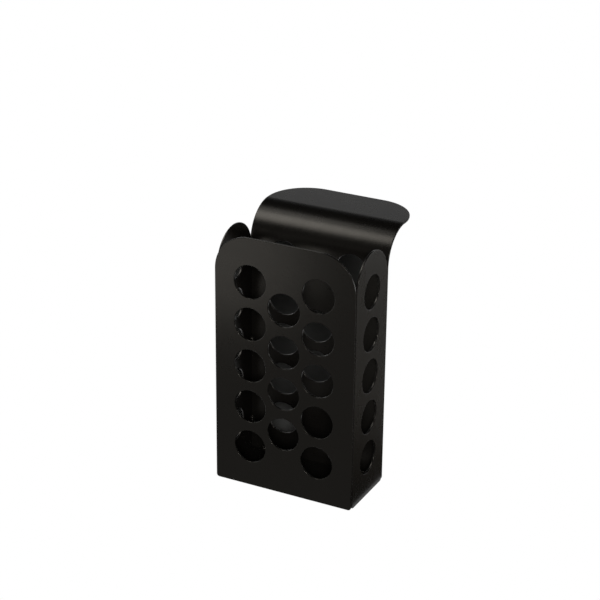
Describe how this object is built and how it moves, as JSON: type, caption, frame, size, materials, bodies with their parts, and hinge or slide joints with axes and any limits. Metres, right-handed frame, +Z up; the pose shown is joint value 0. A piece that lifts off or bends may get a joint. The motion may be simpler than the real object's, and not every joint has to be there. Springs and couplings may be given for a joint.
{
  "type": "hanging cutlery caddy",
  "caption": "Narrow open-topped box of perforated black sheet steel for cutlery, with a back panel that rolls over into a flat hanging tongue.",
  "frame": {"origin": "middle of the floor's underside, half way across and half way through the box", "axes": "+X to the right seen from the front, +Y from the front panel to the back panel, +Z up"},
  "size_m": [0.07, 0.0716, 0.124],
  "materials": {
    "black_powder_coat": "satin black powder coat over folded and welded mild steel sheet"
  },
  "bodies": {
    "root": {"front_panel": "black_powder_coat", "back_panel": "black_powder_coat", "left_side_panel": "black_powder_coat", "right_side_panel": "black_powder_coat", "floor_plate": "black_powder_coat", "front_left_corner_welds": "black_powder_coat", "front_right_corner_welds": "black_powder_coat", "back_left_corner_welds": "black_powder_coat", "back_right_corner_welds": "black_powder_coat", "front_floor_welds": "black_powder_coat", "back_floor_welds": "black_powder_coat", "left_floor_weld": "black_powder_coat", "right_floor_weld": "black_powder_coat"}
  },
  "joints": []
}
